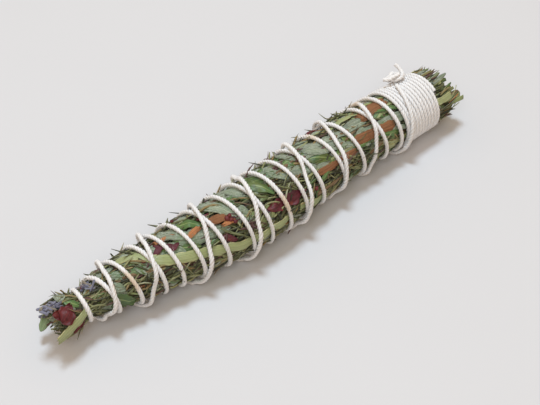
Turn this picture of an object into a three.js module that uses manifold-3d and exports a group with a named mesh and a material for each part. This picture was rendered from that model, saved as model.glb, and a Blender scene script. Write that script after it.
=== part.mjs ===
// A rosemary smudge stick: dried rosemary sprigs with sage and bay leaves, lemongrass, bark, petals and
// lavender laid round them, all bound by one length of cotton string. The string is wound into a collar near
// the cut stems, out to the leafy tip, back across itself, and is knotted on top of the collar.
//
// Millimetres. +X runs along the bundle from its leafy tip to its cut stems, +Z is up, and the origin is on
// the resting surface under the middle of the bundle's box. The bundle lies on its side, on the string.
import * as THREE from "three";
import Module from "manifold-3d";
import { mergeVertices } from "three/addons/utils/BufferGeometryUtils.js";

const wasm = await Module();
wasm.setup();

// ---- driving dimensions ----

// [x, radius] of the packed herbs: loose at the tip, choked by the first turn of string, fullest just before
// the middle and narrow again under the collar.
const HERB_RADIUS = [
  [-112, 7.4], [-101, 6.8], [-94, 5.4], [-84, 7.8], [-73, 9.3], [-61, 10.4], [-47, 11.6], [-31, 12.6],
  [-14, 13.4], [6, 13.2], [27, 12.5], [49, 12], [68, 12.1], [82, 11.6], [96, 11.5], [112, 12],
];
const BOW = { depth: 5.6, at: -15, reach: 42 }; // sideways bend of the whole bundle
const TIP_HEIGHT = 13.4; // height of the bundle's middle line where its thin end is off the surface
const BELLY = 2.2; // how much of the round underside is pressed flat
const ROUNDING = 1; // softness of the edges of that flat

const STRING = 1.9; // diameter of the cotton string
const PRESS = 0.5; // how far the string is flattened where it bears on the surface
const SHOULDER = 53; // degrees round from the front, where the turns below are counted
const COLLAR = { turns: 11, from: 93.6, to: 72.2 };
const OUTWARD_TURNS = [
  67, 57, 42.5, 30, 16, 5.5, -4.5, -15, -24.5, -36.5, -47.5, -56.5, -64.5, -75.5, -85, -95.5,
];
const RETURN_TURNS = [-84, -65.5, -41, -18, 11, 33.5, 54.5, 75.5];
const LAST_REACH = { turn: 102, x: 79.5 }; // where the string ends, short of its knot
const STEPS_PER_TURN = { outward: 14, back: 20 };
const KNOT = { x: 83.4, turn: 122, loop: 1.08, rise: 1.15, open: 0.3, points: 19, string: 1.2 };

const CLEAR = 0.3; // gap kept between neighbouring solids
const CHORD = 0.4; // what a straight step of string cuts into its round path
const LEAF = 0.6; // thickness of a leaf, petal or blade with its folds
const UNDER = 0.9; // depth of the pieces that others overlap
const SPRIG_DEPTH = 1.8; // depth of the sprigs below the bundle's surface
const SPRIGS = 8;
const STEMS = 4;

// ---- materials ----

const finish = (color, roughness) => new THREE.MeshStandardMaterial({ color, roughness, metalness: 0 });
const FINISH = {
  rosemary: finish(0x5c6238, 0.85),
  stem: finish(0x7a6a4c, 0.9),
  sage: finish(0x9aab94, 0.95),
  bay: finish(0x4f7a3c, 0.6),
  grass: finish(0xb3b27c, 0.7),
  petal: finish(0x6e2433, 0.7),
  bark: finish(0xb4713a, 0.85),
  lavender: finish(0x77789a, 0.9),
  string: finish(0xe9e2d8, 0.95),
};

// ---- small helpers ----

const { degToRad, radToDeg, lerp, clamp, smoothstep } = THREE.MathUtils;
const numbers = (count) => Array.from({ length: count }, (_, i) => i);
const softMax = (a, b, round) => (a + b + Math.hypot(a - b, round)) / 2;
const softMin = (a, b, round) => -softMax(-a, -b, round);

// A smooth function y(x) through [x, y] pairs in rising x.
function through(points) {
  const last = points.length - 1;
  const slope = (i) => {
    const [a, b] = [points[Math.max(i - 1, 0)], points[Math.min(i + 1, last)]];
    return (b[1] - a[1]) / (b[0] - a[0]);
  };
  return (x) => {
    let i = 0;
    while (i < last - 1 && x > points[i + 1][0]) i += 1;
    const [x0, y0] = points[i];
    const [x1, y1] = points[i + 1];
    const span = x1 - x0;
    const s = clamp((x - x0) / span, 0, 1);
    const rise = s * s * (3 - 2 * s);
    const start = s * (1 - s) ** 2 * span * slope(i);
    const end = s * s * (s - 1) * span * slope(i + 1);
    return lerp(y0, y1, rise) + start + end;
  };
}

// ---- the bundle's own shape ----

const STRING_LAY = CLEAR + CHORD + STRING / 2; // height of the string's centre over the herbs
const CROSSING = STRING + CLEAR; // how much higher it runs where it crosses another turn
const FLAT_HEIGHT = STRING_LAY + CROSSING + STRING / 2 - PRESS; // height of the herbs' flattened underside

const herbRadius = through(HERB_RADIUS);
const sideBow = (x) => -BOW.depth * Math.exp(-(((x - BOW.at) / BOW.reach) ** 2));
const centreHeight = (x) => softMax(herbRadius(x) + FLAT_HEIGHT - BELLY, TIP_HEIGHT, 0.5);

// The point `out` mm outside the herbs' surface, `turn` degrees round from the front (-Y) over the top. The
// inside is squashed towards the middle line, and what lies outside follows the flat underside.
function onBundle(x, turn, out) {
  const [sine, cosine] = [Math.sin(degToRad(turn)), Math.cos(degToRad(turn))];
  const [radius, height] = [herbRadius(x), centreHeight(x)];
  if (out >= 0) {
    const z = softMax(height + (radius + out) * sine, FLAT_HEIGHT - out, ROUNDING);
    return new THREE.Vector3(x, sideBow(x) - (radius + out) * cosine, z);
  }
  const reach = sine < 0 ? softMin(radius, (height - FLAT_HEIGHT) / -sine, ROUNDING) : radius;
  const distance = (reach * (radius + out)) / radius;
  return new THREE.Vector3(x, sideBow(x) - distance * cosine, height + distance * sine);
}

// ---- solids ----

// A closed solid skinned over rings of points, with flat fans for its ends.
function loft(rings) {
  const count = rings[0].length;
  const middle = (ring) => ring.reduce((sum, p) => sum.add(p), new THREE.Vector3()).divideScalar(count);
  const points = [...rings.flat(), middle(rings[0]), middle(rings.at(-1))];
  const [first, last] = [points.length - 2, points.length - 1];
  const end = (rings.length - 1) * count;
  const faces = [];
  for (let i = 0; i < count; i += 1) {
    const j = (i + 1) % count;
    for (let start = 0; start < end; start += count) {
      const next = start + count;
      faces.push([start + i, start + j, next + j], [start + i, next + j, next + i]);
    }
    faces.push([first, j, i], [last, end + i, end + j]);
  }
  const signedVolume = ([a, b, c]) => points[a].dot(points[b].clone().cross(points[c]));
  const volume = faces.reduce((sum, face) => sum + signedVolume(face), 0);
  if (volume < 0) faces.forEach((face) => face.reverse());
  return new THREE.BufferGeometry().setFromPoints(points).setIndex(faces.flat());
}

// The manifold solid of a closed geometry, and back.
function toSolid(geometry) {
  const bare = geometry.clone();
  bare.deleteAttribute("normal");
  bare.deleteAttribute("uv");
  const merged = mergeVertices(bare, 1e-4);
  const vertProperties = new Float32Array(merged.attributes.position.array);
  const triVerts = new Uint32Array(merged.index.array);
  return new wasm.Manifold(new wasm.Mesh({ numProp: 3, vertProperties, triVerts }));
}

function toGeometry(solid) {
  const mesh = solid.getMesh();
  const geometry = new THREE.BufferGeometry();
  geometry.setAttribute("position", new THREE.BufferAttribute(new Float32Array(mesh.vertProperties), 3));
  return geometry.setIndex(new THREE.BufferAttribute(new Uint32Array(mesh.triVerts), 1));
}

// ---- sprigs and stems ----

const ROD_SIDES = 8;
const ROD_TWIST = 0.12; // degrees that the sprigs wind round the bundle in each mm

// A rod along the inside of the bundle. `at` and `deep` are its middle and its half-depth as shares of the
// inner radius, and `spread` is its half-width in degrees round the bundle.
function rod({ from, to, turn, at, deep, spread }) {
  const between = HERB_RADIUS.map(([x]) => x).filter((x) => x > from + 2 && x < to - 2);
  const rings = [from, ...between, to].map((x) => {
    const radius = herbRadius(x);
    const inner = radius - SPRIG_DEPTH;
    return numbers(ROD_SIDES).map((k) => {
      const a = (2 * Math.PI * k) / ROD_SIDES;
      const out = inner * (at + deep * Math.cos(a)) - radius;
      return onBundle(x, turn + ROD_TWIST * x + spread * Math.sin(a), out);
    });
  });
  return loft(rings);
}

const SPRIG_TIPS = [-104, -111, -100, -108, -97, -110, -103, -106];
const SPRIG_BUTTS = [108, 104, 110, 106, 109, 103, 107, 110];
const STEM_TIPS = [-96, -106, -99, -92];
const STEM_BUTTS = [109, 111, 107, 110];

function rosemarySprig(i) {
  const turn = (360 * i) / SPRIGS;
  return rod({ from: SPRIG_TIPS[i], to: SPRIG_BUTTS[i], turn, at: 0.76, deep: 0.21, spread: 20 });
}

function woodyStem(i) {
  const turn = 30 + (360 * i) / STEMS;
  return rod({ from: STEM_TIPS[i], to: STEM_BUTTS[i], turn, at: 0.3, deep: 0.17, spread: 36 });
}

// ---- leaves, blades, petals and bark ----

const FACE_SPAN = 14; // degrees of the bundle's surface that one flat face may span
const LEAF_STATIONS = 6;
const NARROWEST = 0.35; // half the width of a leaf at its ends

// The share of its full half-width that a piece has at a share of its length.
const OUTLINES = {
  leaf: (s) => Math.sin(Math.PI * s ** 0.8) ** 0.75,
  blade: (s) => Math.min(1, 0.45 + 4 * s, 0.45 + 4 * (1 - s)),
};

// A thin piece on the bundle's surface through [x, turn] places, `depth` below the outermost layer.
function layer({ path, width, depth = 0, thickness = LEAF, outline = "leaf" }) {
  const last = path.length - 1;
  const along = through(path.map(([x], i) => [i / last, x]));
  const round = through(path.map(([, turn], i) => [i / last, turn]));
  const narrow = Math.min(...path.map(([x]) => herbRadius(x)));
  const faces = Math.max(2, Math.ceil(radToDeg(width / narrow) / FACE_SPAN));
  const stations = LEAF_STATIONS * Math.max(1, Math.round(last / 2));
  const rings = numbers(stations + 1).map((i) => {
    const s = i / stations;
    const [x, turn, radius] = [along(s), round(s), herbRadius(along(s))];
    const [before, after] = [Math.max(s - 0.02, 0), Math.min(s + 0.02, 1)];
    const heading = new THREE.Vector2(
      along(after) - along(before),
      radius * degToRad(round(after) - round(before)),
    ).normalize();
    const half = Math.max((width / 2) * OUTLINES[outline](s), NARROWEST);
    const edge = (share, out) =>
      onBundle(x - heading.y * half * share, turn + radToDeg((heading.x * half * share) / radius), out);
    const shares = numbers(faces + 1).map((k) => (2 * k) / faces - 1);
    return [
      ...shares.map((share) => edge(share, -depth)),
      ...shares.toReversed().map((share) => edge(share, -depth - thickness)),
    ];
  });
  return loft(rings);
}

const SAGE_LEAVES = [
  { path: [[-103, 94], [-100, 142]], width: 5 },
  { path: [[-85, 62], [-79, 32]], width: 5, depth: UNDER },
  { path: [[-76, 118], [-69, 84]], width: 6.4, depth: UNDER },
  { path: [[-57, 110], [-45, 66]], width: 6.6 },
  { path: [[-34, 126], [-25, 52]], width: 7.4 },
  { path: [[-23, 120], [-17, 82]], width: 5.6, depth: UNDER },
  { path: [[-2, 104], [4, 64]], width: 6, depth: UNDER },
  { path: [[9, 128], [13, 84]], width: 5.4 },
  { path: [[18, 92], [30, 62]], width: 5.6 },
  { path: [[-70, 196], [-48, 168]], width: 7 },
  { path: [[-18, 158], [6, 178]], width: 7.4 },
  { path: [[34, 196], [56, 170]], width: 7 },
  { path: [[-44, 262], [-22, 238]], width: 7 },
];
const BAY_LEAVES = [
  { path: [[-102, 94], [-97, 52]], width: 4.4, depth: UNDER },
  { path: [[-86, 24], [-76, -14]], width: 6 },
  { path: [[-49, 112], [-38, 76]], width: 6, depth: UNDER },
  { path: [[-14, 106], [-6, 56]], width: 6 },
  { path: [[16, 78], [29, 50]], width: 6, depth: UNDER },
  { path: [[-8, 214], [22, 226]], width: 8 },
  { path: [[42, 258], [66, 236]], width: 7 },
];
const GRASS_BLADES = [
  { path: [[-68, 98], [-62, 52], [-49, 34], [-36, 16], [-22, 2], [-4, 4]], width: 4.6, outline: "blade" },
  { path: [[3, 10], [22, -18]], width: 4.2, outline: "blade" },
  { path: [[-94, 22], [-103, 16], [-111, -4]], width: 5, outline: "blade" },
  { path: [[-60, 322], [-20, 306], [20, 312], [66, 296]], width: 4.8, outline: "blade" },
  { path: [[86, 26], [101, 30]], width: 5, outline: "blade" },
  { path: [[64, 152], [102, 162]], width: 5, outline: "blade" },
];
const BARK_STRIPS = [
  { path: [[18, 40], [42, 34]], width: 3.6, thickness: 1.4, outline: "blade" },
  { path: [[43, 50], [66, 38]], width: 5, thickness: 1.4, outline: "blade" },
  { path: [[52, 86], [70, 94]], width: 6, thickness: 1.4, outline: "blade" },
  { path: [[-62, 246], [-78, 216]], width: 4, thickness: 1.4, outline: "blade" },
];
const PETALS = [
  { path: [[-109, 68], [-104, 42]], width: 4.2 },
  { path: [[-60, 92], [-53, 62]], width: 3.2, depth: UNDER },
  { path: [[-13, 40], [10, 28]], width: 8, depth: UNDER },
  { path: [[-36, 40], [-30, 22]], width: 3.6, depth: UNDER },
  { path: [[26, 140], [38, 128]], width: 5 },
  { path: [[-96, 236], [-86, 262]], width: 5 },
];
const LAVENDER_HEADS = [
  { path: [[-111, 100], [-104, 84]], width: 3.4, thickness: 1.5, depth: 0.2 },
  { path: [[-94, 136], [-88, 84]], width: 4.2, thickness: 1.4 },
  { path: [[-108, 196], [-92, 186]], width: 4.2, thickness: 1.4 },
];

// ---- string ----

const STRING_SIDES = 6;

// Where the string runs, by how many whole turns it has made since the end of the collar, counted where it
// passes the shoulder. Below 0 it winds the collar, and after the last outward turn it comes back.
const turnsOut = OUTWARD_TURNS.length;
const endTurn = turnsOut + RETURN_TURNS.length + (LAST_REACH.turn - SHOULDER) / 360;
const routeX = through([
  [-COLLAR.turns, COLLAR.from],
  [-1, lerp(COLLAR.to, COLLAR.from, 1 / COLLAR.turns)],
  ...[COLLAR.to, ...OUTWARD_TURNS, ...RETURN_TURNS].map((x, i) => [i, x]),
  [endTurn, LAST_REACH.x],
]);

// The distance along the bundle from the returning string to the nearest turn below it.
function nearestBelow(count) {
  const x = routeX(count);
  let nearest = Infinity;
  for (let below = count - Math.ceil(count) - COLLAR.turns + 1; below <= turnsOut; below += 1) {
    nearest = Math.min(nearest, Math.abs(x - routeX(below)));
  }
  return nearest;
}

// The returning string climbs over each turn that it crosses, and stays up where it bears on the surface.
function stringHeight(count) {
  if (count <= turnsOut) return STRING_LAY;
  const crossing = 1 - smoothstep(nearestBelow(count), 2.4, 5.2);
  const bearing = smoothstep(-Math.sin(degToRad(SHOULDER + 360 * count)), 0.6, 0.9);
  const leaving = smoothstep(count, turnsOut, turnsOut + 0.3);
  return STRING_LAY + CROSSING * leaving * Math.max(crossing, bearing);
}

const onRoute = (count) => onBundle(routeX(count), SHOULDER + 360 * count, stringHeight(count));

function stringRing(count) {
  const small = 0.01;
  const point = onRoute(count);
  const tangent = onRoute(count + small).sub(onRoute(count - small)).normalize();
  const outward = onBundle(routeX(count), SHOULDER + 360 * count, stringHeight(count) + 1).sub(point);
  outward.addScaledVector(tangent, -outward.dot(tangent)).normalize();
  const aside = new THREE.Vector3().crossVectors(tangent, outward);
  return numbers(STRING_SIDES).map((k) => {
    const a = (2 * Math.PI * k) / STRING_SIDES;
    const reach = outward.clone().multiplyScalar(Math.cos(a)).addScaledVector(aside, Math.sin(a));
    return point.clone().addScaledVector(reach, STRING / 2);
  });
}

// One length of string from the collar to the tip and back, trimmed flat where it bears on the surface.
function bindingString() {
  const outwardSteps = Math.round((turnsOut + COLLAR.turns) * STEPS_PER_TURN.outward);
  const backSteps = Math.round((endTurn - turnsOut) * STEPS_PER_TURN.back);
  const counts = [
    ...numbers(outwardSteps).map((i) => lerp(-COLLAR.turns, turnsOut, i / outwardSteps)),
    ...numbers(backSteps + 1).map((i) => lerp(turnsOut, endTurn, i / backSteps)),
  ];
  const ground = new THREE.BoxGeometry(400, 100, 20).translate(0, 0, -10);
  return toGeometry(toSolid(loft(counts.map(stringRing))).subtract(toSolid(ground)));
}

// The tails of the knot, from its body to their trimmed ends, as [east, north, up] of its middle.
const KNOT_TAILS = {
  first: [[-2.2, -2.9, 1.1], [-4.4, -2.2, 0.9], [-6.6, -0.6, 1.6]],
  second: [[2.3, -2.8, -0.8], [4.1, -1.6, 0.2], [4.6, 0.2, 2.4], [4, 1.4, 4.6]],
};

// The overhand knot on top of the collar, with its two trimmed tails, lying on the turns below it.
function knot() {
  const bed = STRING_LAY + STRING / 2 + CLEAR + KNOT.string / 2 + KNOT.rise;
  const origin = onBundle(KNOT.x, KNOT.turn, bed);
  const up = onBundle(KNOT.x, KNOT.turn, bed + 1).sub(origin).normalize();
  const east = new THREE.Vector3(1, 0, 0);
  const north = new THREE.Vector3().crossVectors(up, east).normalize();
  const place = ([x, y, z]) =>
    origin.clone().addScaledVector(east, x).addScaledVector(north, y).addScaledVector(up, z);
  const loops = numbers(KNOT.points).map((i) => {
    const t = lerp(Math.PI + KNOT.open, 3 * Math.PI - KNOT.open, i / (KNOT.points - 1));
    const [x, y] = [Math.sin(t) + 2 * Math.sin(2 * t), Math.cos(t) - 2 * Math.cos(2 * t)];
    return [KNOT.loop * x, KNOT.loop * y, -KNOT.rise * Math.sin(3 * t)];
  });
  const route = [...KNOT_TAILS.first.toReversed(), ...loops, ...KNOT_TAILS.second].map(place);
  const section = new THREE.Shape().absarc(0, 0, KNOT.string / 2, 0, 2 * Math.PI);
  return new THREE.ExtrudeGeometry(section, {
    extrudePath: new THREE.CatmullRomCurve3(route),
    steps: 60,
    curveSegments: 3,
  });
}

// ---- the bundle ----

const bundle = new THREE.Group();

function add(name, geometry, material) {
  const mesh = new THREE.Mesh(geometry, material);
  mesh.name = name;
  bundle.add(mesh);
}

function addEach(name, pieces, make, material) {
  pieces.forEach((piece, i) => add(`${name}_${i + 1}`, make(piece), material));
}

addEach("rosemary_sprig", numbers(SPRIGS), rosemarySprig, FINISH.rosemary);
addEach("woody_stem", numbers(STEMS), woodyStem, FINISH.stem);
addEach("sage_leaf", SAGE_LEAVES, layer, FINISH.sage);
addEach("bay_leaf", BAY_LEAVES, layer, FINISH.bay);
addEach("grass_blade", GRASS_BLADES, layer, FINISH.grass);
addEach("bark_strip", BARK_STRIPS, layer, FINISH.bark);
addEach("petal", PETALS, layer, FINISH.petal);
addEach("lavender_head", LAVENDER_HEADS, layer, FINISH.lavender);
add("binding_string", bindingString(), FINISH.string);
add("string_knot", knot(), FINISH.string);

// The origin goes to the resting surface, under the middle of the bundle's box.
const box = new THREE.Box3().setFromObject(bundle);
bundle.position.set(-(box.min.x + box.max.x) / 2, -(box.min.y + box.max.y) / 2, -box.min.z);

export default bundle;
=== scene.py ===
"""Builds the looks of a string-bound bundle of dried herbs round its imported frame.

Lengths are in metres. Places on the bundle are given as (x, turn, out): the distance along it from tip (-X)
to cut stems (+X), the degrees round it from its front (-Y) over the top, and the distance outside the packed
herbs' surface.
"""

import bpy
import numpy as np
from bpy.props import FloatProperty, FloatVectorProperty, IntProperty, PointerProperty
from bpy.types import Operator, Panel, PropertyGroup
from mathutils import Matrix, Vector


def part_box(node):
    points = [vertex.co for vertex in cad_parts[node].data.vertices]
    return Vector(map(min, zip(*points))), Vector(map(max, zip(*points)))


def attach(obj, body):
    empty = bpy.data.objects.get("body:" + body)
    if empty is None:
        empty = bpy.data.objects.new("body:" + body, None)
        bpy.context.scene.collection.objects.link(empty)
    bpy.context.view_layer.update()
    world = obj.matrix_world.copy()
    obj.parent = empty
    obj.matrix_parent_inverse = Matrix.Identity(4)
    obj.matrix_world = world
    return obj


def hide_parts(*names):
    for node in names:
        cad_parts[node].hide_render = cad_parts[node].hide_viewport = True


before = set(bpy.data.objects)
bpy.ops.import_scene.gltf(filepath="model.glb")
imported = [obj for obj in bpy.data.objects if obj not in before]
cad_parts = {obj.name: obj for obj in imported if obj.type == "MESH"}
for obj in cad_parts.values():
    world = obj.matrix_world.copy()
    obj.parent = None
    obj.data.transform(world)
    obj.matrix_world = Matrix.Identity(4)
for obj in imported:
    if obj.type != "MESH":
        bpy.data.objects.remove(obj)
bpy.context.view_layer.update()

bl_info = {
    "name": "Herb bundle",
    "version": (1, 0, 0),
    "blender": (4, 5, 0),
    "location": "3D View > Sidebar > Herb bundle",
    "description": "A string-bound bundle of dried rosemary, sage, lemongrass, bark and petals",
    "category": "Add Mesh",
}

MM = 0.001
BODY = "root"


# ---- the bundle's own shape, as in the frame ----

HERB_RADIUS = [
    (-112, 7.4), (-101, 6.8), (-94, 5.4), (-84, 7.8), (-73, 9.3), (-61, 10.4), (-47, 11.6), (-31, 12.6),
    (-14, 13.4), (6, 13.2), (27, 12.5), (49, 12), (68, 12.1), (82, 11.6), (96, 11.5), (112, 12),
]
BOW_DEPTH, BOW_AT, BOW_REACH = 5.6 * MM, -15 * MM, 42 * MM
TIP_HEIGHT = 13.4 * MM
BELLY = 2.2 * MM
FLAT_HEIGHT = 4.3 * MM
ROUNDING = 1 * MM

SHOULDER = 53
COLLAR_TURNS, COLLAR_FROM, COLLAR_TO = 11, 93.6, 72.2
OUTWARD_TURNS = [67, 57, 42.5, 30, 16, 5.5, -4.5, -15, -24.5, -36.5, -47.5, -56.5, -64.5, -75.5, -85, -95.5]
RETURN_TURNS = [-84, -65.5, -41, -18, 11, 33.5, 54.5, 75.5]
LAST_TURN, LAST_X = 102, 79.5

PRESSED, PROUD = 0.15 * MM, 1.0 * MM  # how far the herbs swell out under the string and well away from it


def soft_max(a, b, round_off):
    return (a + b + np.hypot(a - b, round_off)) / 2


def smoothstep(value, low, high):
    s = np.clip((value - low) / (high - low), 0, 1)
    return s * s * (3 - 2 * s)


def through(points, scale=1.0):
    """A smooth function through (x, y) points in rising x; scale is that of both."""
    xs, ys = np.array(points, float).T * scale
    slopes = np.gradient(ys, xs)
    slopes[1:-1] = (ys[2:] - ys[:-2]) / (xs[2:] - xs[:-2])

    def smooth(x):
        x = np.asarray(x, float)
        i = np.clip(np.searchsorted(xs, x) - 1, 0, len(xs) - 2)
        span = xs[i + 1] - xs[i]
        s = np.clip((x - xs[i]) / span, 0, 1)
        rise = s * s * (3 - 2 * s)
        ends = s * (1 - s) ** 2 * span * slopes[i] + s * s * (s - 1) * span * slopes[i + 1]
        return ys[i] * (1 - rise) + ys[i + 1] * rise + ends

    return smooth


herb_radius = through(HERB_RADIUS, MM)


def middle(x):
    """The y and z of the bundle's middle line."""
    y = -BOW_DEPTH * np.exp(-(((x - BOW_AT) / BOW_REACH) ** 2))
    return y, soft_max(herb_radius(x) + FLAT_HEIGHT - BELLY, TIP_HEIGHT, 0.5 * MM)


def place(x, turn, out):
    """Points at (x, turn, out), before the whole bundle is set over the origin."""
    x, turn, out = np.broadcast_arrays(np.asarray(x, float), np.radians(turn), out)
    radius = herb_radius(x)
    y_mid, z_mid = middle(x)
    sine, cosine = np.sin(turn), np.cos(turn)
    outside = soft_max(z_mid + (radius + out) * sine, FLAT_HEIGHT - out, ROUNDING)
    down = np.maximum(-sine, 1e-6)
    reach = np.where(sine < 0, -soft_max(-radius, -(z_mid - FLAT_HEIGHT) / down, ROUNDING), radius)
    distance = np.where(out >= 0, radius + out, reach * (radius + out) / radius)
    z = np.where(out >= 0, outside, z_mid + distance * sine)
    return np.stack([x, y_mid - distance * cosine, z], -1)


# ---- the string's route ----

TURNS_OUT = len(OUTWARD_TURNS)
END_TURN = TURNS_OUT + len(RETURN_TURNS) + (LAST_TURN - SHOULDER) / 360
route_x = through(
    [(-COLLAR_TURNS, COLLAR_FROM * MM), (-1, (COLLAR_TO + (COLLAR_FROM - COLLAR_TO) / COLLAR_TURNS) * MM)]
    + [(i, x * MM) for i, x in enumerate([COLLAR_TO, *OUTWARD_TURNS, *RETURN_TURNS])]
    + [(END_TURN, LAST_X * MM)]
)


def passes(turn):
    """The x of every pass of the string at these turns round the bundle, one row for each pass."""
    part = (np.asarray(turn, float) - SHOULDER) / 360
    part = part - np.floor(part)
    counts = part + np.arange(-COLLAR_TURNS - 1, int(END_TURN) + 1).reshape((-1,) + (1,) * part.ndim)
    return counts, np.where((counts >= -COLLAR_TURNS) & (counts <= END_TURN), route_x(counts), np.inf)


def string_gap(x, turn):
    """The distance along the bundle to the nearest pass of the string."""
    return np.min(np.abs(passes(turn)[1] - x), axis=0)


def swell(x, turn):
    """How far the herbs bulge out between the turns of string."""
    return PRESSED + (PROUD - PRESSED) * smoothstep(string_gap(x, turn), 0.8 * MM, 5 * MM)


def string_line(counts, lay, over):
    """The string's centre at these counts of turns: it climbs over what it crosses on its way back."""
    x = route_x(counts)
    turn = SHOULDER + 360 * counts
    below_counts, below = passes(turn)
    below = np.where(below_counts <= np.minimum(TURNS_OUT, counts - 0.5), below, np.inf)
    crossing = 1 - smoothstep(np.min(np.abs(below - x), axis=0), 2.0 * MM, 5.2 * MM)
    bearing = smoothstep(-np.sin(np.radians(turn)), 0.6, 0.9)
    leaving = smoothstep(counts, TURNS_OUT, TURNS_OUT + 0.3)
    return place(x, turn, lay + over * leaving * np.maximum(crossing, bearing)), x, turn


def shift_to_frame():
    """How far the bundle moves in x and y so that its string lies where the frame's does."""
    line = string_line(np.linspace(-COLLAR_TURNS, END_TURN, 4000), 1.65 * MM, 2.2 * MM)[0]
    low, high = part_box("binding_string")
    own = (line.min(axis=0) + line.max(axis=0)) / 2
    return np.array([(low[0] + high[0]) / 2 - own[0], (low[1] + high[1]) / 2 - own[1], 0.0])


SHIFT = shift_to_frame()
GROUND = 0.05 * MM


def on_bundle(x, turn, out):
    """Points at (x, turn, out) in the frame, never below the surface that the bundle lies on."""
    points = place(x, turn, out) + SHIFT
    points[..., 2] = np.maximum(points[..., 2], GROUND)
    return points


def outward(points):
    """Unit vectors that point out from the bundle's middle line."""
    y_mid, z_mid = middle(points[..., 0] - SHIFT[0])
    away = points.copy()
    away[..., 0] = 0
    away[..., 1] -= y_mid + SHIFT[1]
    away[..., 2] -= z_mid
    return away / np.maximum(np.linalg.norm(away, axis=-1, keepdims=True), 1e-9)


# ---- meshes ----


class Pieces:
    """Vertices, faces and per-vertex values of many small solids, gathered into one mesh."""

    def __init__(self):
        self.points, self.faces, self.values, self.count = [], [], {}, 0

    def add(self, points, faces, **values):
        points = points.reshape(-1, 3)
        self.points.append(points)
        self.faces += [face + self.count for face in faces]
        for key in ("tone", "along", "across", "under"):
            value = np.broadcast_to(np.asarray(values.get(key, 0.0), float), points.shape[:1])
            self.values.setdefault(key, []).append(value)
        self.count += len(points)

    def mesh(self, name):
        points = np.concatenate(self.points)
        points[:, 2] = np.maximum(points[:, 2], GROUND)
        mesh = bpy.data.meshes.new(name)
        sizes = np.concatenate([np.full(len(f), f.shape[1]) for f in self.faces])
        mesh.vertices.add(len(points))
        mesh.vertices.foreach_set("co", points.astype(np.float32).ravel())
        mesh.loops.add(int(sizes.sum()))
        corners = np.concatenate([f.ravel() for f in self.faces]).astype(np.int32)
        mesh.loops.foreach_set("vertex_index", corners)
        mesh.polygons.add(len(sizes))
        mesh.polygons.foreach_set("loop_start", np.concatenate([[0], np.cumsum(sizes)[:-1]]).astype(np.int32))
        for key, value in self.values.items():
            mesh.attributes.new(key, "FLOAT", "POINT").data.foreach_set(
                "value", np.concatenate(value).astype(np.float32)
            )
        mesh.update(calc_edges=True)
        mesh.validate()
        mesh.polygons.foreach_set("use_smooth", np.ones(len(mesh.polygons), bool))
        return mesh


def show(name, pieces, material, slot, *nodes):
    """Puts the gathered solids in the scene as one piece that stands for these nodes."""
    mesh = pieces.mesh(name)
    mesh.materials.append(material)
    piece = bpy.data.objects.new(name, mesh)
    bpy.context.collection.objects.link(piece)
    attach(piece, BODY)
    if nodes:
        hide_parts(*nodes)
    return piece


def tube_faces(count, rings, sides):
    """Faces of `count` closed tubes, each of `rings` rings of `sides` points, with flat ends."""
    start = np.arange(count).reshape(-1, 1, 1) * rings * sides
    ring = np.arange(rings - 1).reshape(1, -1, 1) * sides
    side = np.arange(sides).reshape(1, 1, -1)
    a = start + ring + side
    b = start + ring + (side + 1) % sides
    walls = np.stack([a, b, b + sides, a + sides], -1).reshape(-1, 4)
    first = start[:, 0] + side[0, :, ::-1]
    last = start[:, 0] + (rings - 1) * sides + side[0]
    return [walls, first, last]


def shell_faces(rows, columns):
    """Faces of a closed shell: a grid's upper points, then its lower ones."""
    grid = np.arange(rows * columns).reshape(rows, columns)
    top = np.stack([grid[:-1, :-1], grid[1:, :-1], grid[1:, 1:], grid[:-1, 1:]], -1).reshape(-1, 4)
    below = top[:, ::-1] + rows * columns
    rim = np.concatenate([grid[0, :], grid[1:, -1], grid[-1, -2::-1], grid[-2:0:-1, 0]])
    after = np.roll(rim, -1)
    walls = np.stack([rim, after, after + rows * columns, rim + rows * columns], -1)
    return [top, below, walls]


# Half a needle's or strip's section, as shares of its half-width and half-thickness.
NEEDLE = np.array([(-1, 0.1), (0, 1), (1, 0.1), (0.6, -0.8), (-0.6, -0.8)])
ROUND = np.array([(np.cos(a), np.sin(a)) for a in np.linspace(0, 2 * np.pi, 8, endpoint=False)])


def across_line(line, roll):
    """Unit vectors to the side of and out from each point of many centre lines, rolled by some angle."""
    run = np.gradient(line, axis=1)
    run /= np.maximum(np.linalg.norm(run, axis=-1, keepdims=True), 1e-9)
    out = outward(line)
    out -= run * np.sum(out * run, axis=-1, keepdims=True)
    out /= np.maximum(np.linalg.norm(out, axis=-1, keepdims=True), 1e-9)
    side = np.cross(out, run)
    roll = np.asarray(roll, float).reshape(-1, 1, 1)
    return side * np.cos(roll) + out * np.sin(roll), out * np.cos(roll) - side * np.sin(roll)


def add_strips(pieces, line, section, wide, thick, roll=0.0, tone=0.5):
    """Adds a closed strip or stem along each centre line; wide and thick hold its half sizes at each ring."""
    count, rings, _ = line.shape
    side, out = across_line(line, roll)
    points = (
        line[:, :, None]
        + side[:, :, None] * (section[:, 0] * wide[..., None])[..., None]
        + out[:, :, None] * (section[:, 1] * thick[..., None])[..., None]
    )
    steps = np.linalg.norm(np.diff(line, axis=1), axis=-1)
    along = np.concatenate([np.zeros((count, 1)), np.cumsum(steps, axis=1)], axis=1)
    shape = (count, rings, len(section))
    pieces.add(
        points,
        tube_faces(*shape),
        tone=np.broadcast_to(np.asarray(tone, float).reshape(-1, 1, 1), shape).ravel(),
        along=np.broadcast_to(along[..., None], shape).ravel(),
        across=np.broadcast_to(section[:, 0], shape).ravel(),
        under=np.broadcast_to(section[:, 1] < 0, shape).ravel(),
    )


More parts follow.
